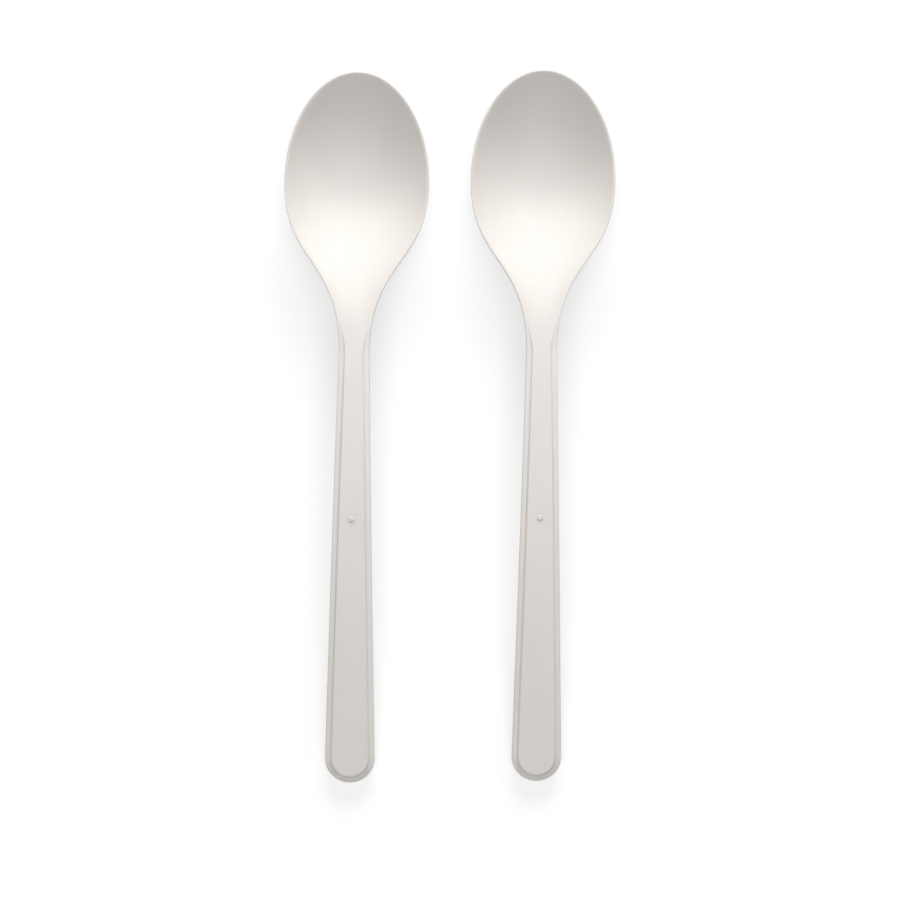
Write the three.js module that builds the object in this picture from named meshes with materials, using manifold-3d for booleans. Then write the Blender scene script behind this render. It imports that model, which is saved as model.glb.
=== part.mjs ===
import * as THREE from 'three';
import { mergeVertices } from 'three/addons/utils/BufferGeometryUtils.js';
import Module from 'manifold-3d';

// A pack of two moulded plastic spoons lying side by side on a table, bowls open upwards.
// Millimetres, +Z up, bowl tips towards +Y. Along a spoon, distances are measured from the tip of its bowl.

// Plan of a spoon
const spoonLength = 165;
const bowlWidth = 33.5;
const bowlFront = 25.5; // tip to the widest section, where the bowl is deepest
const neckFromTip = 65;
const neckWidth = 7;
const handleEndWidth = 11.5;
const shoulderPull = 19; // how far the side runs straight on before it turns in to the neck
const neckPull = 21.5; // how far the neck runs out into that turn

// Side view of a spoon: rises are above the rim at the widest section, slopes are rise over run
const bowlDepth = 6.5;
const hollowEnd = 60; // where the hollow of the bowl has run out
const tipRise = 0.6;
const hollowEndRise = 2.7;
const tipSlope = -0.06;
const rimSlope = 0.02;
const hollowEndSlope = 0.14;
const handleEndSlope = -0.16;

// Section of a spoon
const wall = 1.2;
const bowlFullness = 2.2; // power of the bowl's section: 2 is a parabola, more is flatter in the middle
const rimWidth = 0.4;
const rimEdge = 1; // height of the rim's outer face
const edgeRound = 0.25;
const restTrim = 0.15; // taken off the lowest point of the bowl, so that it rests on a small flat

// Handle: a raised flat panel, a step down to a lower border, and a shallow channel underneath
const handleDepth = 2.4; // top of the panel to the foot of the side walls
const borderWidth = 1.15;
const stepRun = 0.35;
const stepDrop = 0.35;
const borderFall = 0.2;
const sideWall = 1.2;
const sideDraft = 0.15;
const panelStart = 57;
const panelFull = 66;
const channelStart = 48;

// Stub that is left on the panel where the plastic ran into the mould
const gateFromTip = 103.4;
const gateWidth = 1.4;
const gateHeight = 0.16;
const gateRound = 0.12;
const craterWidth = 0.6;
const craterDepth = 0.06;

// How the two spoons lie
const gapBetweenBowls = 9.6;
const leftTilt = 0.76; // degrees, both turned clockwise
const rightTilt = 0.6;
const rightLead = 0.4; // how far the right spoon lies ahead of the left one

// Steps of the mesh
const frontSteps = 12;
const shoulderSteps = 14;
const handleSteps = 14;
const endSteps = 7;
const innerRows = 6;
const gateSteps = 16;

const endRadius = handleEndWidth / 2;
const endCentre = spoonLength - endRadius;
const rimHeight = bowlDepth + wall - restTrim;
const { lerp, smoothstep, clamp, degToRad } = THREE.MathUtils;

const wasm = await Module();
wasm.setup();

// The line of the rim and of the handle's panel in side view, from tip to end.
const stations = [
  { fromTip: 0, height: rimHeight + tipRise, slope: tipSlope },
  { fromTip: bowlFront, height: rimHeight, slope: rimSlope },
  { fromTip: hollowEnd, height: rimHeight + hollowEndRise, slope: hollowEndSlope },
  { fromTip: spoonLength, height: handleDepth, slope: handleEndSlope },
];
const sideCurves = stations.slice(1).map((end, index) => {
  const start = stations[index];
  const third = (end.fromTip - start.fromTip) / 3;
  return new THREE.CubicBezierCurve(
    new THREE.Vector2(start.fromTip, start.height),
    new THREE.Vector2(start.fromTip + third, start.height + third * start.slope),
    new THREE.Vector2(end.fromTip - third, end.height - third * end.slope),
    new THREE.Vector2(end.fromTip, end.height),
  );
});

function sideHeight(fromTip) {
  const curve = sideCurves.find((each) => fromTip <= each.v3.x) ?? sideCurves.at(-1);
  const t = (fromTip - curve.v0.x) / (curve.v3.x - curve.v0.x);
  return curve.getPoint(t).y;
}

function hollowDepth(fromTip) {
  return bowlDepth * (1 - smoothstep(fromTip, bowlFront, hollowEnd));
}

// A ray runs from a point of the outline in to the middle line of the spoon.
// The rays of the round ends all meet in the centre of their round.
function rayAt(curve, t) {
  const edge = curve.getPoint(t);
  const tangent = curve.getTangent(t);
  return {
    edge,
    inward: new THREE.Vector2(-tangent.y, tangent.x),
    middle: new THREE.Vector2(0, clamp(edge.y, bowlFront, endCentre)),
  };
}

function mirrored(ray) {
  return {
    edge: new THREE.Vector2(-ray.edge.x, ray.edge.y),
    inward: new THREE.Vector2(-ray.inward.x, ray.inward.y),
    middle: ray.middle,
  };
}

// Once round the outline: down the right side from tip to end, and back up the left side.
function makeRays() {
  const widest = new THREE.Vector2(bowlWidth / 2, bowlFront);
  const neck = new THREE.Vector2(neckWidth / 2, neckFromTip);
  const endSide = new THREE.Vector2(endRadius, endCentre);
  const front = new THREE.EllipseCurve(0, bowlFront, widest.x, bowlFront, -Math.PI / 2, 0);
  const shoulder = new THREE.CubicBezierCurve(
    widest,
    new THREE.Vector2(widest.x, bowlFront + shoulderPull),
    new THREE.Vector2(neck.x, neckFromTip - neckPull),
    neck,
  );
  const handle = new THREE.LineCurve(neck, endSide);
  const end = new THREE.EllipseCurve(0, endCentre, endRadius, endRadius, 0, Math.PI / 2);
  const tipRay = rayAt(front, 0);
  const endRay = rayAt(end, 1);
  tipRay.edge.x = 0;
  endRay.edge.x = 0;
  const side = [];
  for (const [curve, steps] of [
    [front, frontSteps],
    [shoulder, shoulderSteps],
    [handle, handleSteps],
    [end, endSteps],
  ]) {
    for (let step = 0; step < steps; step++) side.push(rayAt(curve, step / steps));
  }
  const right = side.slice(1);
  return [tipRay, ...right, endRay, ...right.toReversed().map(mirrored)];
}

// Where a ray stands at a given inset from the outline.
function insetPoint(ray, inset) {
  return ray.edge.clone().addScaledVector(ray.inward, inset);
}

// The hollow takes away its whole depth in the middle of a ray and nothing at the start of the curve.
function hollowShare(ray, point, start) {
  const reach = start.distanceTo(ray.middle);
  const share = Math.min(point.distanceTo(ray.middle) / reach, 1);
  return 1 - share ** bowlFullness;
}

// Upper side. Each row along the edge has an inset on the bowl and on the handle, and a drop on each.
const borderOuterDrop = stepDrop + borderFall;
const upperRows = [
  { bowlInset: 0, handleInset: 0, bowlDrop: edgeRound, handleDrop: borderOuterDrop + edgeRound },
  { bowlInset: edgeRound, handleInset: edgeRound, bowlDrop: 0, handleDrop: borderOuterDrop },
  { bowlInset: rimWidth, handleInset: borderWidth, bowlDrop: 0, handleDrop: stepDrop },
  { bowlInset: rimWidth + stepRun, handleInset: borderWidth + stepRun, bowlDrop: 0, handleDrop: 0 },
];

function upperPoints(ray) {
  const panel = smoothstep(ray.edge.y, panelStart, panelFull);
  const hollowStart = insetPoint(ray, rimWidth);
  const place = (point, drop) => {
    const hollow = hollowDepth(ray.middle.y) * hollowShare(ray, point, hollowStart);
    return new THREE.Vector3(point.x, point.y, sideHeight(point.y) - hollow - drop);
  };
  const border = upperRows.map((row) => {
    const point = insetPoint(ray, lerp(row.bowlInset, row.handleInset, panel));
    return place(point, lerp(row.bowlDrop, row.handleDrop, panel));
  });
  const last = border.at(-1);
  const start = new THREE.Vector2(last.x, last.y);
  const inner = [];
  for (let row = 1; row <= innerRows; row++) {
    inner.push(place(start.clone().lerp(ray.middle, row / innerRows), 0));
  }
  return [...border, ...inner];
}

// Underside. The bowl keeps the wall's thickness, and the handle is a channel between two side walls.
const lowerRows = [
  { inset: 0, handleDrop: handleDepth },
  { inset: sideWall, handleDrop: handleDepth },
  { inset: sideWall + sideDraft, handleDrop: wall },
];

function lowerPoints(ray) {
  const channel = smoothstep(ray.edge.y, channelStart, panelFull);
  const place = (point, handleDrop) => {
    const depth = hollowDepth(ray.middle.y) + wall - rimEdge;
    const bowlDrop = rimEdge + depth * hollowShare(ray, point, ray.edge);
    const height = sideHeight(point.y) - lerp(bowlDrop, handleDrop, channel);
    return new THREE.Vector3(point.x, point.y, Math.max(height, 0));
  };
  const border = lowerRows.map((row) => place(insetPoint(ray, row.inset), row.handleDrop));
  const last = border.at(-1);
  const start = new THREE.Vector2(last.x, last.y);
  const inner = [];
  for (let row = 1; row <= innerRows; row++) {
    inner.push(place(start.clone().lerp(ray.middle, row / innerRows), wall));
  }
  return [...border, ...inner];
}

// Joins the strands into one closed skin. Each strand runs from the middle line of the underside out to the
// edge and back in over the upper side, so the skin closes where the two sides' strands meet in the middle.
function skinOver(strands) {
  const rows = strands[0].length;
  const positions = strands.flat().flatMap((point) => [point.x, bowlFront - point.y, point.z]);
  const indices = [];
  for (let strand = 0; strand < strands.length; strand++) {
    const here = strand * rows;
    const next = ((strand + 1) % strands.length) * rows;
    for (let row = 0; row < rows - 1; row++) {
      indices.push(here + row, here + row + 1, next + row + 1);
      indices.push(here + row, next + row + 1, next + row);
    }
  }
  const geometry = new THREE.BufferGeometry();
  geometry.setAttribute('position', new THREE.Float32BufferAttribute(positions, 3));
  geometry.setIndex(indices);
  return geometry;
}

function toSolid(geometry) {
  const bare = new THREE.BufferGeometry();
  bare.setAttribute('position', geometry.getAttribute('position'));
  bare.setIndex(geometry.getIndex());
  const merged = mergeVertices(bare, 1e-4);
  const corners = merged.getIndex().array;
  const kept = [];
  for (let i = 0; i < corners.length; i += 3) {
    const [a, b, c] = corners.slice(i, i + 3);
    if (a !== b && b !== c && c !== a) kept.push(a, b, c);
  }
  const vertProperties = new Float32Array(merged.getAttribute('position').array);
  return new wasm.Manifold(new wasm.Mesh({ numProp: 3, vertProperties, triVerts: new Uint32Array(kept) }));
}

function toGeometry(solid) {
  const mesh = solid.getMesh();
  const geometry = new THREE.BufferGeometry();
  geometry.setAttribute('position', new THREE.Float32BufferAttribute(mesh.vertProperties, 3));
  geometry.setIndex(Array.from(mesh.triVerts));
  geometry.computeVertexNormals();
  return geometry;
}

// The stub is a low round button with a small crater in its top.
function gateStub() {
  const radius = gateWidth / 2;
  const profile = [
    new THREE.Vector2(0, -wall / 2),
    new THREE.Vector2(radius, -wall / 2),
    new THREE.Vector2(radius, gateHeight - gateRound),
    new THREE.Vector2(radius - gateRound, gateHeight),
    new THREE.Vector2(craterWidth / 2, gateHeight),
    new THREE.Vector2(0, gateHeight - craterDepth),
  ];
  const geometry = new THREE.LatheGeometry(profile, gateSteps);
  geometry.rotateX(Math.PI / 2);
  geometry.translate(0, bowlFront - gateFromTip, sideHeight(gateFromTip));
  return geometry;
}

function spoonGeometry() {
  const strands = makeRays().map((ray) => [...lowerPoints(ray).toReversed(), ...upperPoints(ray)]);
  return toGeometry(toSolid(skinOver(strands)).add(toSolid(gateStub())));
}

const plastic = new THREE.MeshStandardMaterial({ color: '#f1ece4', roughness: 0.35, metalness: 0 });

function makeSpoon(name, across, along, tilt) {
  const spoon = new THREE.Mesh(spoonGeometry(), plastic.clone());
  spoon.name = name;
  spoon.position.set(across, along, 0);
  spoon.rotation.z = -degToRad(tilt);
  return spoon;
}

const spacing = bowlWidth + gapBetweenBowls;
const pack = new THREE.Group();
pack.add(makeSpoon('left_spoon', -spacing / 2, 0, leftTilt));
pack.add(makeSpoon('right_spoon', spacing / 2, rightLead, rightTilt));

// The pack stands on z = 0 with its middle over the origin.
const middle = new THREE.Box3().setFromObject(pack, true).getCenter(new THREE.Vector3());
pack.position.set(-middle.x, -middle.y, 0);

export default pack;
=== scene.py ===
import math

import bpy
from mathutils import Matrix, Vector


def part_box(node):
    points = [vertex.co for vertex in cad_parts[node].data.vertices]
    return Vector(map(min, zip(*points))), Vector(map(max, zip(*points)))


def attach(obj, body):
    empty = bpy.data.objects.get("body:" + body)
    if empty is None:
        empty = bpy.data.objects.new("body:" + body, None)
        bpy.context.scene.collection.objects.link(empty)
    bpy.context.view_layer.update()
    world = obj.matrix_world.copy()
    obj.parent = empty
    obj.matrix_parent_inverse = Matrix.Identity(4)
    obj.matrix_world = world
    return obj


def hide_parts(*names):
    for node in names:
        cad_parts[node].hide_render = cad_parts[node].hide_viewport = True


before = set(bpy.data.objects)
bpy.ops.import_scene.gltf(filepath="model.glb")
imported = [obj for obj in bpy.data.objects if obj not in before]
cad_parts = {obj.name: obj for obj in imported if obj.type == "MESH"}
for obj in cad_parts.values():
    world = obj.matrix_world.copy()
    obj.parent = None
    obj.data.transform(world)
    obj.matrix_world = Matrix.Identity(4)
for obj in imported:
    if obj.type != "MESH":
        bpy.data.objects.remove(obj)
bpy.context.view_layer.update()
scene = bpy.context.scene
mm = 0.001


# Spoon outline
# Each spoon is one injection moulding in stiff warm-white plastic: an oval bowl, a slim neck and a handle that widens
# to a round end. Half of its outline is drawn from the tip to the end, with the widest section of the bowl at y = 0.
spoon_length = 165 * mm
bowl_width = 33.5 * mm
bowl_front = 25.5 * mm
neck_from_tip = 65 * mm
neck_width = 7 * mm
handle_end_width = 11.5 * mm
shoulder_pull = 19 * mm
neck_pull = 21.5 * mm
end_radius = handle_end_width / 2
quarter_round = 4 / 3 * math.tan(math.pi / 8)
outline_steps = 500


def draw_half_outline():
    tip = Vector((0, bowl_front, 0))
    widest = Vector((bowl_width / 2, 0, 0))
    neck = Vector((neck_width / 2, bowl_front - neck_from_tip, 0))
    end_side = Vector((end_radius, bowl_front - spoon_length + end_radius, 0))
    end = Vector((0, bowl_front - spoon_length, 0))
    taper = (end_side - neck) / 3
    across = Vector((quarter_round, 0, 0))
    along = Vector((0, quarter_round, 0))
    knots = [
        (tip, -across * widest.x, across * widest.x),
        (widest, along * bowl_front, Vector((0, -shoulder_pull, 0))),
        (neck, Vector((0, neck_pull, 0)), taper),
        (end_side, -taper, -along * end_radius),
        (end, across * end_radius, -across * end_radius),
    ]
    curve = bpy.data.curves.new("half_outline", "CURVE")
    curve.dimensions = "3D"
    curve.resolution_u = outline_steps
    spline = curve.splines.new("BEZIER")
    spline.bezier_points.add(len(knots) - 1)
    for point, (place, before, after) in zip(spline.bezier_points, knots):
        point.co = place
        point.handle_left = place + before
        point.handle_right = place + after
    outline = bpy.data.objects.new("half_outline", curve)
    scene.collection.objects.link(outline)
    return outline


half_outline = draw_half_outline()


# Spoon sections
# The moulded edge, as two sections with the same corners: the bowl's rim, and the handle's panel, border and side
# wall over an open channel. x is how far in a corner lies from the outline, and y how far above the side line.
wall = 1.2 * mm
rim_edge = 1 * mm
rim_width = 0.4 * mm
handle_depth = 2.4 * mm
border_width = 1.15 * mm
step_run = 0.35 * mm
step_drop = 0.35 * mm
border_fall = 0.2 * mm
side_wall = 1.2 * mm
side_draft = 0.15 * mm
corner_round = 0.22 * mm
corner_steps = 6


def draw_section(name, corners):
    """A line through the corners, each of them rounded off over corner_round."""
    points = [corners[0]]
    for before, corner, after in zip(corners, corners[1:], corners[2:]):
        start = corner + (before - corner).normalized() * min(corner_round, (before - corner).length / 2)
        stop = corner + (after - corner).normalized() * min(corner_round, (after - corner).length / 2)
        for step in range(corner_steps + 1):
            t = step / corner_steps
            points.append(start.lerp(corner, t).lerp(corner.lerp(stop, t), t))
    points.append(corners[-1])
    mesh = bpy.data.meshes.new(name)
    mesh.from_pydata([(*point, 0) for point in points], [], [])
    section = bpy.data.objects.new(name, mesh)
    scene.collection.objects.link(section)
    return section


channel_side = side_wall + side_draft
panel_side = border_width + step_run
border_low = -step_drop - border_fall
handle_section = draw_section("handle_section", [
    Vector((channel_side + corner_round, -wall)),
    Vector((channel_side, -wall)),
    Vector((side_wall, -handle_depth)),
    Vector((0, -handle_depth)),
    Vector((0, border_low)),
    Vector((border_width, -step_drop)),
    Vector((panel_side, 0)),
    Vector((panel_side + corner_round, 0)),
])
bowl_section = draw_section("bowl_section", [
    Vector((channel_side + corner_round, -rim_edge)),
    Vector((channel_side, -rim_edge)),
    Vector((side_wall, -rim_edge)),
    Vector((0, -rim_edge)),
    Vector((0, 0)),
    Vector((rim_width, 0)),
    Vector((rim_width + step_run, 0)),
    Vector((rim_width + step_run + corner_round, 0)),
])


# Spoon moulding
# The mould's surface follows a rule: strands run in from the outline to the middle line, the side line lifts them
# from the table, and the hollow of the bowl sinks them. This makes one half of a spoon.
bowl_depth = 6.5 * mm
hollow_end = 60 * mm
tip_rise = 0.6 * mm
hollow_end_rise = 2.7 * mm
tip_slope = -0.06
rim_slope = 0.02
hollow_end_slope = 0.14
handle_end_slope = -0.16
bowl_fullness = 2.2
rim_round = 0.5 * mm
rest_trim = 0.15 * mm
panel_start = 57 * mm
panel_full = 66 * mm
channel_start = 48 * mm
rim_height = bowl_depth + wall - rest_trim

strands = 330
inner_rows = 26


def new_tree(name, kind, inputs, outputs):
    """A node group with named inputs, given as (name, socket type, value)."""
    tree = bpy.data.node_groups.new(name, kind)
    for label, socket_type, value in inputs:
        socket = tree.interface.new_socket(name=label, in_out="INPUT", socket_type=socket_type)
        if value is not None:
            socket.default_value = value
    for label, socket_type in outputs:
        tree.interface.new_socket(name=label, in_out="OUTPUT", socket_type=socket_type)
    return tree


def join(tree, source, socket):
    """Puts a value, or the output of another node, into a socket."""
    if isinstance(source, bpy.types.NodeSocket):
        tree.links.new(source, socket)
    else:
        socket.default_value = source


def add(tree, kind, values=None, **settings):
    """A new node with its settings, and with values for its inputs by name or number."""
    made = tree.nodes.new(kind)
    for name, setting in settings.items():
        setattr(made, name, setting)
    for key, value in (values or {}).items():
        join(tree, value, made.inputs[key])
    return made


def calc(tree, operation, *values):
    return add(tree, "ShaderNodeMath", dict(enumerate(values)), operation=operation).outputs[0]


def blend_of(tree, share, first, second):
    """first where share is 0, second where it is 1."""
    return calc(tree, "MULTIPLY_ADD", calc(tree, "SUBTRACT", second, first), share, first)


def ease(tree, value, start, stop):
    ranged = add(tree, "ShaderNodeMapRange", {"Value": value, "From Min": start, "From Max": stop},
                 interpolation_type="SMOOTHSTEP")
    return ranged.outputs["Result"]


FLOAT = "NodeSocketFloat"
VECTOR = "NodeSocketVector"


def make_rise_tree():
    """Height gained between two places along the spoon, with a slope at each of them."""
    tree = new_tree("rise_between", "GeometryNodeTree", [
        ("Along", FLOAT, 0), ("From", FLOAT, 0), ("To", FLOAT, 1),
        ("Rise", FLOAT, 0), ("Start Slope", FLOAT, 0), ("End Slope", FLOAT, 0),
    ], [("Height", FLOAT)])
    given = tree.nodes.new("NodeGroupInput").outputs
    run = calc(tree, "SUBTRACT", given["To"], given["From"])
    t = add(tree, "ShaderNodeMapRange", {
        "Value": given["Along"], "From Min": given["From"], "From Max": given["To"]}).outputs["Result"]
    left = calc(tree, "SUBTRACT", 1.0, t)
    both = calc(tree, "MULTIPLY", t, left)
    from_start = calc(tree, "MULTIPLY", calc(tree, "MULTIPLY", both, left), given["Start Slope"])
    from_end = calc(tree, "MULTIPLY", calc(tree, "MULTIPLY", both, t), given["End Slope"])
    bend = calc(tree, "MULTIPLY", calc(tree, "SUBTRACT", from_start, from_end), run)
    square = calc(tree, "MULTIPLY", t, t)
    climb = calc(tree, "MULTIPLY", square, calc(tree, "MULTIPLY_ADD", t, -2.0, 3.0))
    height = calc(tree, "MULTIPLY_ADD", climb, given["Rise"], bend)
    join(tree, height, tree.nodes.new("NodeGroupOutput").inputs["Height"])
    return tree


def make_side_tree():
    """The side line: the height of the rim and of the handle's panel at a distance from the tip."""
    tree = new_tree("side_line", "GeometryNodeTree", [
        ("From Tip", FLOAT, 0), ("Spoon Length", FLOAT, spoon_length), ("Bowl Front", FLOAT, bowl_front),
        ("Hollow End", FLOAT, hollow_end), ("Rim Height", FLOAT, rim_height), ("Tip Rise", FLOAT, tip_rise),
        ("Hollow End Rise", FLOAT, hollow_end_rise), ("Handle Depth", FLOAT, handle_depth),
        ("Tip Slope", FLOAT, tip_slope), ("Rim Slope", FLOAT, rim_slope),
        ("Hollow End Slope", FLOAT, hollow_end_slope), ("Handle End Slope", FLOAT, handle_end_slope),
    ], [("Height", FLOAT)])
    given = tree.nodes.new("NodeGroupInput").outputs
    tip_fall = calc(tree, "MULTIPLY", given["Tip Rise"], -1.0)
    end_fall = calc(tree, "SUBTRACT", given["Handle Depth"],
                    calc(tree, "ADD", given["Rim Height"], given["Hollow End Rise"]))
    height = calc(tree, "ADD", given["Rim Height"], given["Tip Rise"])
    for start, stop, rise, start_slope, end_slope in (
        (0.0, given["Bowl Front"], tip_fall, given["Tip Slope"], given["Rim Slope"]),
        (given["Bowl Front"], given["Hollow End"], given["Hollow End Rise"],
         given["Rim Slope"], given["Hollow End Slope"]),
        (given["Hollow End"], given["Spoon Length"], end_fall,
         given["Hollow End Slope"], given["Handle End Slope"]),
    ):
        piece = add(tree, "GeometryNodeGroup", node_tree=rise_tree)
        for name, value in zip(("Along", "From", "To", "Rise", "Start Slope", "End Slope"),
                               (given["From Tip"], start, stop, rise, start_slope, end_slope)):
            join(tree, value, piece.inputs[name])
        height = calc(tree, "ADD", height, piece.outputs["Height"])
    join(tree, height, tree.nodes.new("NodeGroupOutput").inputs["Height"])
    return tree


rise_tree = make_rise_tree()
side_tree = make_side_tree()


def side_height(tree, from_tip):
    return add(tree, "GeometryNodeGroup", {"From Tip": from_tip}, node_tree=side_tree).outputs["Height"]


def make_half(tree, given):
    """Half of the spoon: a grid whose columns are strands, and whose rows run over the edge."""
    outline = add(tree, "GeometryNodeObjectInfo", {"Object": given["Half Outline"]}).outputs["Geometry"]
    bowl_line = add(tree, "GeometryNodeObjectInfo", {"Object": given["Bowl Section"]}).outputs["Geometry"]
    handle_line = add(tree, "GeometryNodeObjectInfo", {"Object": given["Handle Section"]}).outputs["Geometry"]
    corner_count = add(tree, "GeometryNodeAttributeDomainSize", {"Geometry": bowl_line}).outputs["Point Count"]
    inner = given["Inner Rows"]
    last_corner = calc(tree, "SUBTRACT", corner_count, 1.0)
    last_row = calc(tree, "MULTIPLY_ADD", inner, 2.0, last_corner)
    grid = add(tree, "GeometryNodeMeshGrid", {
        "Size X": 1.0, "Size Y": 1.0, "Vertices X": given["Strands"],
        "Vertices Y": calc(tree, "ADD", last_row, 1.0)}).outputs["Mesh"]
    position = tree.nodes.new("GeometryNodeInputPosition").outputs["Position"]
    cell = add(tree, "ShaderNodeSeparateXYZ", {"Vector": position}).outputs
    along_outline = calc(tree, "ADD", cell["X"], 0.5)
    row = calc(tree, "ROUND", calc(tree, "MULTIPLY", calc(tree, "ADD", cell["Y"], 0.5), last_row))
    corner_row = calc(tree, "SUBTRACT", row, inner)
    corner = calc(tree, "MAXIMUM", calc(tree, "MINIMUM", corner_row, last_corner), 0.0)
    upper = calc(tree, "GREATER_THAN", corner_row, calc(tree, "MULTIPLY", last_corner, 0.5))
    beyond = calc(tree, "MAXIMUM", calc(tree, "MULTIPLY", corner_row, -1.0),
                  calc(tree, "SUBTRACT", corner_row, last_corner))
    inward_share = calc(tree, "DIVIDE", calc(tree, "MAXIMUM", beyond, 0.0), inner)

    strand = add(tree, "GeometryNodeSampleCurve", {"Curves": outline, "Factor": along_outline}, mode="FACTOR")
    edge = strand.outputs["Position"]
    edge_y = add(tree, "ShaderNodeSeparateXYZ", {"Vector": edge}).outputs["Y"]
    heading = add(tree, "ShaderNodeSeparateXYZ", {"Vector": strand.outputs["Tangent"]}).outputs
    inward = add(tree, "ShaderNodeCombineXYZ", {
        "X": heading["Y"], "Y": calc(tree, "MULTIPLY", heading["X"], -1.0)}).outputs["Vector"]
    end_centre = calc(tree, "ADD", calc(tree, "SUBTRACT", given["Bowl Front"], given["Spoon Length"]),
                      given["End Radius"])
    middle_y = calc(tree, "MAXIMUM", calc(tree, "MINIMUM", edge_y, 0.0), end_centre)
    middle = add(tree, "ShaderNodeCombineXYZ", {"Y": middle_y}).outputs["Vector"]

    edge_from_tip = calc(tree, "SUBTRACT", given["Bowl Front"], edge_y)
    panel = ease(tree, edge_from_tip, given["Panel Start"], given["Panel Full"])
    channel = ease(tree, edge_from_tip, given["Channel Start"], given["Panel Full"])
    handle_share = blend_of(tree, upper, channel, panel)
    corners = []
    for line in (bowl_line, handle_line):
        sample = add(tree, "GeometryNodeSampleIndex", {"Geometry": line}, data_type="FLOAT_VECTOR")
        join(tree, position, sample.inputs["Value"])
        join(tree, corner, sample.inputs["Index"])
        corners.append(add(tree, "ShaderNodeSeparateXYZ", {"Vector": sample.outputs[0]}).outputs)
    inset = blend_of(tree, handle_share, corners[0]["X"], corners[1]["X"])
    rise = blend_of(tree, handle_share, corners[0]["Y"], corners[1]["Y"])

    def inwards(distance):
        return add(tree, "ShaderNodeVectorMath", {0: inward, 1: distance, 2: edge},
                   operation="MULTIPLY_ADD").outputs["Vector"]

    def distance_to_middle(point):
        return add(tree, "ShaderNodeVectorMath", {0: point, 1: middle}, operation="DISTANCE").outputs["Value"]

    on_border = inwards(inset)
    to_middle = add(tree, "ShaderNodeVectorMath", {0: middle, 1: on_border}, operation="SUBTRACT").outputs["Vector"]
    plan = add(tree, "ShaderNodeVectorMath", {0: to_middle, 1: inward_share, 2: on_border},
               operation="MULTIPLY_ADD").outputs["Vector"]
    hollow_start = inwards(calc(tree, "MULTIPLY", given["Rim Width"], upper))
    reach = calc(tree, "DIVIDE", distance_to_middle(plan), distance_to_middle(hollow_start))
    share = calc(tree, "SUBTRACT", 1.0, calc(tree, "POWER", reach, given["Bowl Fullness"]))

    middle_from_tip = calc(tree, "SUBTRACT", given["Bowl Front"], middle_y)
    run_out = ease(tree, middle_from_tip, given["Bowl Front"], given["Hollow End"])
    fullness = calc(tree, "SUBTRACT", 1.0, run_out)
    hollow = calc(tree, "MULTIPLY", fullness, given["Bowl Depth"])
    upper_drop = calc(tree, "SMOOTH_MAX", calc(tree, "MULTIPLY", hollow, share), 0.0,
                      calc(tree, "MULTIPLY", fullness, given["Rim Round"]))
    lower_depth = calc(tree, "ADD", hollow, calc(tree, "SUBTRACT", given["Wall"], given["Rim Edge"]))
    lower_drop = calc(tree, "MULTIPLY", calc(tree, "MAXIMUM", calc(tree, "MULTIPLY", lower_depth, share), 0.0),
                      calc(tree, "SUBTRACT", 1.0, channel))
    drop = blend_of(tree, upper, lower_drop, upper_drop)

    place = add(tree, "ShaderNodeSeparateXYZ", {"Vector": plan}).outputs
    from_tip = calc(tree, "SUBTRACT", given["Bowl Front"], place["Y"])
    height = calc(tree, "SUBTRACT", calc(tree, "ADD", side_height(tree, from_tip), rise), drop)
    off_middle = calc(tree, "SIGN", calc(tree, "MULTIPLY", along_outline,
                                         calc(tree, "SUBTRACT", 1.0, along_outline)))
    lifted = add(tree, "ShaderNodeCombineXYZ", {
        "X": calc(tree, "MULTIPLY", place["X"], off_middle), "Y": place["Y"],
        "Z": calc(tree, "MAXIMUM", height, 0.0)}).outputs["Vector"]
    return add(tree, "GeometryNodeSetPosition", {"Geometry": grid, "Position": lifted}).outputs["Geometry"]


# Gate stub
# Where the molten plastic ran into the mould, its runner was snapped off and left a low round stub with a crater
# on the handle's panel. It is part of the moulding.
gate_from_tip = 103.4 * mm
gate_radius = 0.75 * mm
gate_height = 0.16 * mm
gate_round = 0.45 * mm
crater_radius = 0.32 * mm
crater_depth = 0.06 * mm
gate_sides = 48
gate_rings = 14


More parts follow.
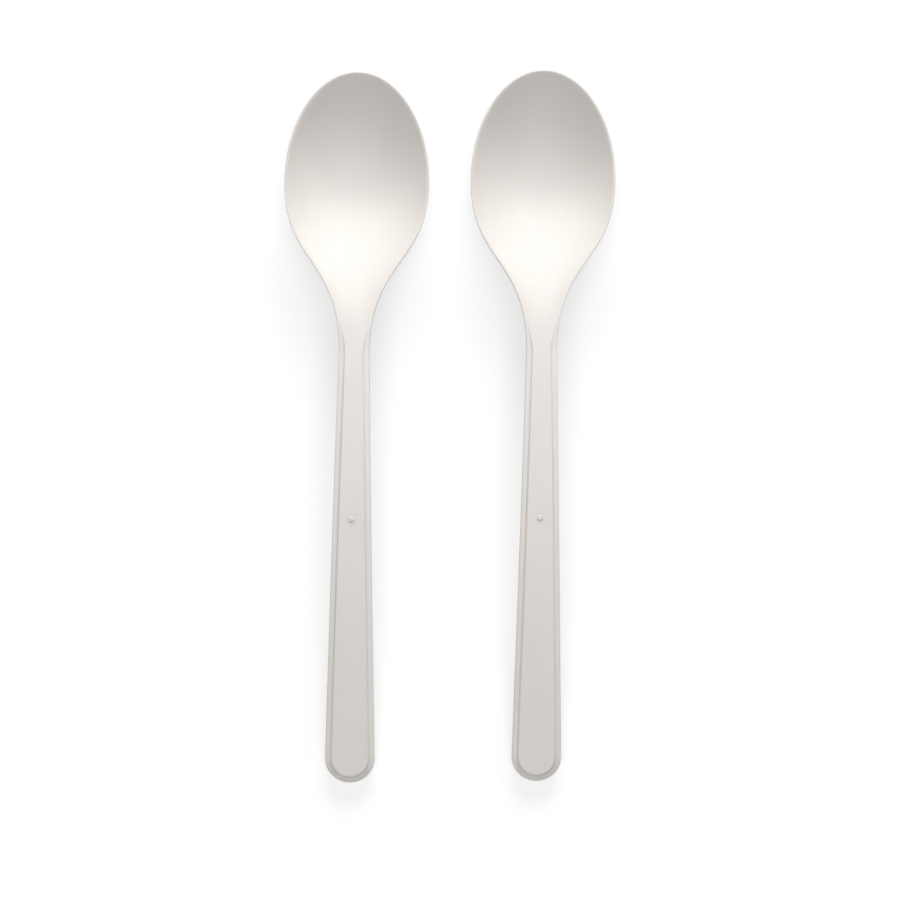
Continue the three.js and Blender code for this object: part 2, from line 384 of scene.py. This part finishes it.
def make_gate_stub(tree, given):
    depth = calc(tree, "MULTIPLY", given["Wall"], 0.5)
    button = add(tree, "GeometryNodeMeshCylinder", {
        "Vertices": gate_sides, "Side Segments": 2, "Fill Segments": gate_rings,
        "Radius": given["Gate Radius"], "Depth": depth}, fill_type="TRIANGLE_FAN")
    position = tree.nodes.new("GeometryNodeInputPosition").outputs["Position"]
    at = add(tree, "ShaderNodeSeparateXYZ", {"Vector": position}).outputs
    level = add(tree, "ShaderNodeCombineXYZ", {"X": at["X"], "Y": at["Y"]}).outputs["Vector"]
    radius = add(tree, "ShaderNodeVectorMath", {0: level}, operation="LENGTH").outputs["Value"]
    shoulder = calc(tree, "SUBTRACT", given["Gate Radius"], given["Gate Round"])
    swell = calc(tree, "SUBTRACT", 1.0, ease(tree, radius, shoulder, given["Gate Radius"]))
    dip = calc(tree, "SUBTRACT", 1.0, ease(tree, radius, 0.0, given["Crater Radius"]))
    raised = calc(tree, "SUBTRACT", calc(tree, "MULTIPLY", swell, given["Gate Height"]),
                  calc(tree, "MULTIPLY", dip, given["Crater Depth"]))
    on_top = calc(tree, "GREATER_THAN", at["Z"], calc(tree, "MULTIPLY", depth, 0.45))
    shaped = add(tree, "GeometryNodeSetPosition", {
        "Geometry": button.outputs["Mesh"],
        "Offset": add(tree, "ShaderNodeCombineXYZ", {
            "Z": calc(tree, "MULTIPLY", raised, on_top)}).outputs["Vector"]})
    sunk = calc(tree, "SUBTRACT", side_height(tree, given["Gate From Tip"]), calc(tree, "MULTIPLY", depth, 0.5))
    centre = add(tree, "ShaderNodeCombineXYZ", {
        "Y": calc(tree, "SUBTRACT", given["Bowl Front"], given["Gate From Tip"]), "Z": sunk}).outputs["Vector"]
    return add(tree, "GeometryNodeTransform", {
        "Geometry": shaped.outputs["Geometry"], "Translation": centre}).outputs["Geometry"]


# Spoon plastic
# Injection-moulded, mineral-filled plastic in warm white, satin in the bowl and a little smoother on the handle.
# The melt ran lengthwise from the gate, and left faint streaks, slow ripples and a dull spot round the stub.
plastic_colour = (0.77, 0.733, 0.70, 1)
streak_colour = (0.755, 0.717, 0.68, 1)
bowl_roughness = 0.5
handle_roughness = 0.33
roughness_swing = 0.05
blush_radius = 3.2 * mm
blush_roughness = 0.14
streak_stretch = (1, 0.09, 1)
streak_scale = 240.0
cloud_scale = 75.0
cloud_share = 0.45
flow_low = 0.3
flow_high = 0.7
ripple_scale = 210.0
ripple_height = 0.03 * mm
grain_scale = 2600.0
grain_height = 0.003 * mm


def make_plastic():
    material = bpy.data.materials.new("warm_white_plastic")
    material.use_nodes = True
    tree = material.node_tree
    surface = tree.nodes["Principled BSDF"]
    surface.inputs["IOR"].default_value = 1.49
    surface.inputs["Subsurface Weight"].default_value = 0.1
    surface.inputs["Subsurface Radius"].default_value = (1.0, 0.8, 0.65)
    surface.inputs["Subsurface Scale"].default_value = 1.2 * mm

    on_object = tree.nodes.new("ShaderNodeTexCoord").outputs["Object"]
    moulded = add(tree, "ShaderNodeAttribute", attribute_name="moulded").outputs["Vector"]
    along = add(tree, "ShaderNodeSeparateXYZ", {"Vector": moulded}).outputs["Y"]
    level = add(tree, "ShaderNodeVectorMath", {0: moulded, 1: (1, 1, 0)}, operation="MULTIPLY").outputs["Vector"]
    from_gate = add(tree, "ShaderNodeVectorMath", {0: level, 1: (0, bowl_front - gate_from_tip, 0)},
                    operation="DISTANCE").outputs["Value"]
    blush = calc(tree, "SUBTRACT", 1.0, ease(tree, from_gate, gate_radius, blush_radius))
    on_handle = calc(tree, "SUBTRACT", 1.0, ease(tree, along, bowl_front - panel_full, bowl_front - channel_start))

    lengthwise = add(tree, "ShaderNodeMapping", {"Vector": on_object, "Scale": streak_stretch}).outputs["Vector"]
    streaks = add(tree, "ShaderNodeTexNoise", {
        "Vector": lengthwise, "Scale": streak_scale, "Detail": 2.0, "Roughness": 0.55}).outputs["Fac"]
    clouds = add(tree, "ShaderNodeTexNoise", {
        "Vector": on_object, "Scale": cloud_scale, "Detail": 2.0, "Roughness": 0.5}).outputs["Fac"]
    flow = ease(tree, blend_of(tree, cloud_share, streaks, clouds), flow_low, flow_high)
    tint = add(tree, "ShaderNodeMix", {
        0: calc(tree, "MULTIPLY", flow, calc(tree, "SUBTRACT", 1.0, blush)),
        6: plastic_colour, 7: streak_colour}, data_type="RGBA").outputs[2]
    join(tree, tint, surface.inputs["Base Color"])

    skin = blend_of(tree, on_handle, bowl_roughness, handle_roughness)
    uneven = calc(tree, "MULTIPLY_ADD", calc(tree, "SUBTRACT", flow, 0.5), roughness_swing, skin)
    join(tree, calc(tree, "MULTIPLY_ADD", blush, blush_roughness, uneven), surface.inputs["Roughness"])

    ripple = add(tree, "ShaderNodeTexNoise", {
        "Vector": on_object, "Scale": ripple_scale, "Detail": 1.0, "Roughness": 0.4}).outputs["Fac"]
    grain = add(tree, "ShaderNodeTexNoise", {
        "Vector": on_object, "Scale": grain_scale, "Detail": 2.0, "Roughness": 0.5}).outputs["Fac"]
    height = calc(tree, "MULTIPLY_ADD", grain, grain_height, calc(tree, "MULTIPLY", ripple, ripple_height))
    bump = add(tree, "ShaderNodeBump", {"Height": height, "Distance": 1.0, "Strength": 1.0})
    join(tree, bump.outputs["Normal"], surface.inputs["Normal"])
    return material


plastic = make_plastic()


# The two spoons
# Two copies of the same moulding, each made of two mirrored halves and the gate stub. They lie side by side on their
# bowls and handle ends, each turned a little clockwise as it was laid down.
left_turn = math.radians(0.76)
right_turn = math.radians(0.6)
merge_gap = 0.0005 * mm


def make_moulding_tree():
    tree = new_tree("spoon_moulding", "GeometryNodeTree", [
        ("Half Outline", "NodeSocketObject", None), ("Bowl Section", "NodeSocketObject", None),
        ("Handle Section", "NodeSocketObject", None), ("Plastic", "NodeSocketMaterial", None),
        ("Spoon Length", FLOAT, spoon_length), ("Bowl Front", FLOAT, bowl_front),
        ("End Radius", FLOAT, end_radius), ("Bowl Depth", FLOAT, bowl_depth),
        ("Bowl Fullness", FLOAT, bowl_fullness), ("Hollow End", FLOAT, hollow_end),
        ("Rim Width", FLOAT, rim_width), ("Rim Edge", FLOAT, rim_edge), ("Rim Round", FLOAT, rim_round),
        ("Wall", FLOAT, wall), ("Panel Start", FLOAT, panel_start), ("Panel Full", FLOAT, panel_full),
        ("Channel Start", FLOAT, channel_start), ("Gate From Tip", FLOAT, gate_from_tip),
        ("Gate Radius", FLOAT, gate_radius), ("Gate Height", FLOAT, gate_height),
        ("Gate Round", FLOAT, gate_round), ("Crater Radius", FLOAT, crater_radius),
        ("Crater Depth", FLOAT, crater_depth), ("Strands", "NodeSocketInt", strands),
        ("Inner Rows", "NodeSocketInt", inner_rows), ("Place", VECTOR, None), ("Turn", FLOAT, 0),
    ], [("Spoon", "NodeSocketGeometry")])
    given = tree.nodes.new("NodeGroupInput").outputs
    half = make_half(tree, given)
    right = add(tree, "GeometryNodeFlipFaces", {"Mesh": half}).outputs["Mesh"]
    left = add(tree, "GeometryNodeTransform", {"Geometry": half, "Scale": (-1, 1, 1)}).outputs["Geometry"]
    body = add(tree, "GeometryNodeJoinGeometry")
    for side in (left, right):
        tree.links.new(side, body.inputs["Geometry"])
    closed = add(tree, "GeometryNodeMergeByDistance", {
        "Geometry": body.outputs["Geometry"], "Distance": merge_gap}).outputs["Geometry"]
    spoon = add(tree, "GeometryNodeJoinGeometry")
    for part in (closed, make_gate_stub(tree, given)):
        tree.links.new(part, spoon.inputs["Geometry"])
    marked = add(tree, "GeometryNodeStoreNamedAttribute", {
        "Geometry": spoon.outputs["Geometry"], "Name": "moulded",
        "Value": tree.nodes.new("GeometryNodeInputPosition").outputs["Position"]},
        data_type="FLOAT_VECTOR", domain="POINT")
    turned = add(tree, "GeometryNodeTransform", {
        "Geometry": marked.outputs["Geometry"], "Translation": given["Place"],
        "Rotation": add(tree, "ShaderNodeCombineXYZ", {"Z": given["Turn"]}).outputs["Vector"]})
    smooth = add(tree, "GeometryNodeSetShadeSmooth", {"Geometry": turned.outputs["Geometry"]})
    real = add(tree, "GeometryNodeRealizeInstances", {"Geometry": smooth.outputs["Geometry"]})
    finished = add(tree, "GeometryNodeSetMaterial", {
        "Geometry": real.outputs["Geometry"], "Material": given["Plastic"]})
    join(tree, finished.outputs["Geometry"], tree.nodes.new("NodeGroupOutput").inputs["Spoon"])
    return tree


moulding_tree = make_moulding_tree()


def mould_spoon(node, turn):
    low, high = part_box(node)
    host = bpy.data.objects.new(f"{node}_host", bpy.data.meshes.new(f"{node}_host"))
    scene.collection.objects.link(host)
    modifier = host.modifiers.new("moulding", "NODES")
    modifier.node_group = moulding_tree
    given = {item.name: item.identifier for item in moulding_tree.interface.items_tree if item.in_out == "INPUT"}
    modifier[given["Half Outline"]] = half_outline
    modifier[given["Bowl Section"]] = bowl_section
    modifier[given["Handle Section"]] = handle_section
    modifier[given["Plastic"]] = plastic
    modifier[given["Place"]] = ((low[0] + high[0]) / 2, high[1] - bowl_front, 0)
    modifier[given["Turn"]] = -turn
    graph = bpy.context.evaluated_depsgraph_get()
    mesh = bpy.data.meshes.new_from_object(host.evaluated_get(graph))
    bpy.data.objects.remove(host)
    spoon = bpy.data.objects.new(f"{node}_moulding", mesh)
    scene.collection.objects.link(spoon)
    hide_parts(node)
    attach(spoon, "root")
    return spoon


left_spoon = mould_spoon("left_spoon", left_turn)
right_spoon = mould_spoon("right_spoon", right_turn)
for drawing in (half_outline, bowl_section, handle_section):
    bpy.data.objects.remove(drawing)


# Table
# A plain pale surface. Cameras and glossy surfaces see it as white out to its edges, and it keeps the
# spoons' shadows.
table_reach = 1.6
table_grey = (0.46, 0.46, 0.46, 1)
near_lift = 0.61
lift_start = 0.2
lift_full = 0.7


def make_table():
    mesh = bpy.data.meshes.new("table")
    corners = [(x * table_reach, y * table_reach, 0) for x, y in ((-1, -1), (1, -1), (1, 1), (-1, 1))]
    mesh.from_pydata(corners, [], [(0, 1, 2, 3)])
    table = bpy.data.objects.new("table", mesh)
    scene.collection.objects.link(table)
    material = bpy.data.materials.new("pale_table")
    material.use_nodes = True
    tree = material.node_tree
    tree.nodes.clear()
    paper = add(tree, "ShaderNodeBsdfDiffuse", {"Color": table_grey})
    on_table = tree.nodes.new("ShaderNodeTexCoord").outputs["Object"]
    from_spoons = add(tree, "ShaderNodeVectorMath", {0: on_table}, operation="LENGTH").outputs["Value"]
    far = ease(tree, from_spoons, lift_start, lift_full)
    lift = add(tree, "ShaderNodeEmission", {
        "Color": (1, 1, 1, 1), "Strength": blend_of(tree, far, near_lift, 1.0)})
    light_path = tree.nodes.new("ShaderNodeLightPath").outputs
    seen = calc(tree, "MAXIMUM", light_path["Is Camera Ray"],
                calc(tree, "MAXIMUM", light_path["Is Glossy Ray"], light_path["Is Transmission Ray"]))
    both = add(tree, "ShaderNodeAddShader", {0: paper.outputs["BSDF"], 1: lift.outputs["Emission"]})
    mix = add(tree, "ShaderNodeMixShader", {
        "Fac": seen, 1: paper.outputs["BSDF"], 2: both.outputs["Shader"]})
    out = tree.nodes.new("ShaderNodeOutputMaterial")
    tree.links.new(mix.outputs["Shader"], out.inputs["Surface"])
    mesh.materials.append(material)


make_table()


# Light
# A wide window low beyond the tips of the bowls with two small panes above it, two wide soft lamps overhead,
# and a faint fill from the room. Each lamp has a bearing round from +Y, a height angle, a width, a depth and a power.
lamp_distance = 1.6
room_strength = 0.08


def make_lamp(name, bearing, climb, width, depth, power):
    data = bpy.data.lights.new(name, "AREA")
    data.shape = "RECTANGLE"
    data.size = width
    data.size_y = depth
    data.energy = power
    lamp = bpy.data.objects.new(name, data)
    level = math.cos(math.radians(climb))
    lamp.location = Vector((math.sin(math.radians(bearing)) * level, math.cos(math.radians(bearing)) * level,
                            math.sin(math.radians(climb)))) * lamp_distance
    lamp.rotation_euler = lamp.location.to_track_quat("Z", "Y").to_euler()
    scene.collection.objects.link(lamp)


def make_room():
    world = bpy.data.worlds.new("room")
    world.use_nodes = True
    tree = world.node_tree
    light_path = tree.nodes.new("ShaderNodeLightPath").outputs
    seen = calc(tree, "MAXIMUM", light_path["Is Camera Ray"],
                calc(tree, "MAXIMUM", light_path["Is Glossy Ray"], light_path["Is Transmission Ray"]))
    join(tree, blend_of(tree, seen, room_strength, 1.0), tree.nodes["Background"].inputs["Strength"])
    tree.nodes["Background"].inputs["Color"].default_value = (1, 1, 1, 1)
    scene.world = world


make_lamp("window", 5, 18, 1.1, 0.45, 31)
make_lamp("left_pane", -32, 53, 0.2, 0.4, 0.35)
make_lamp("right_pane", 34, 53, 0.2, 0.4, 0.45)
make_lamp("overhead_rear", 180, 74, 2.0, 0.8, 12)
make_lamp("overhead_front", 0, 82, 2.0, 0.8, 3.9)
make_room()


# Camera
# Straight above the spoons, with their bowls at the top of the picture. The middle of the pair stands a little above
# the middle of the picture.
lens = 120
sensor = 36
photo_width = 900
photo_px_per_mm = 4.324
photo_middle = (449.9, 427.75)


def make_camera():
    data = bpy.data.cameras.new("camera")
    data.lens = lens
    data.sensor_width = sensor
    frame_width = photo_width / photo_px_per_mm * mm
    camera = bpy.data.objects.new("camera", data)
    px = frame_width / photo_width
    camera.location = (
        (photo_width / 2 - photo_middle[0]) * px,
        (photo_middle[1] - photo_width / 2) * px,
        frame_width * lens / sensor + rim_height,
    )
    scene.collection.objects.link(camera)
    scene.camera = camera


make_camera()
scene.view_settings.view_transform = "Standard"
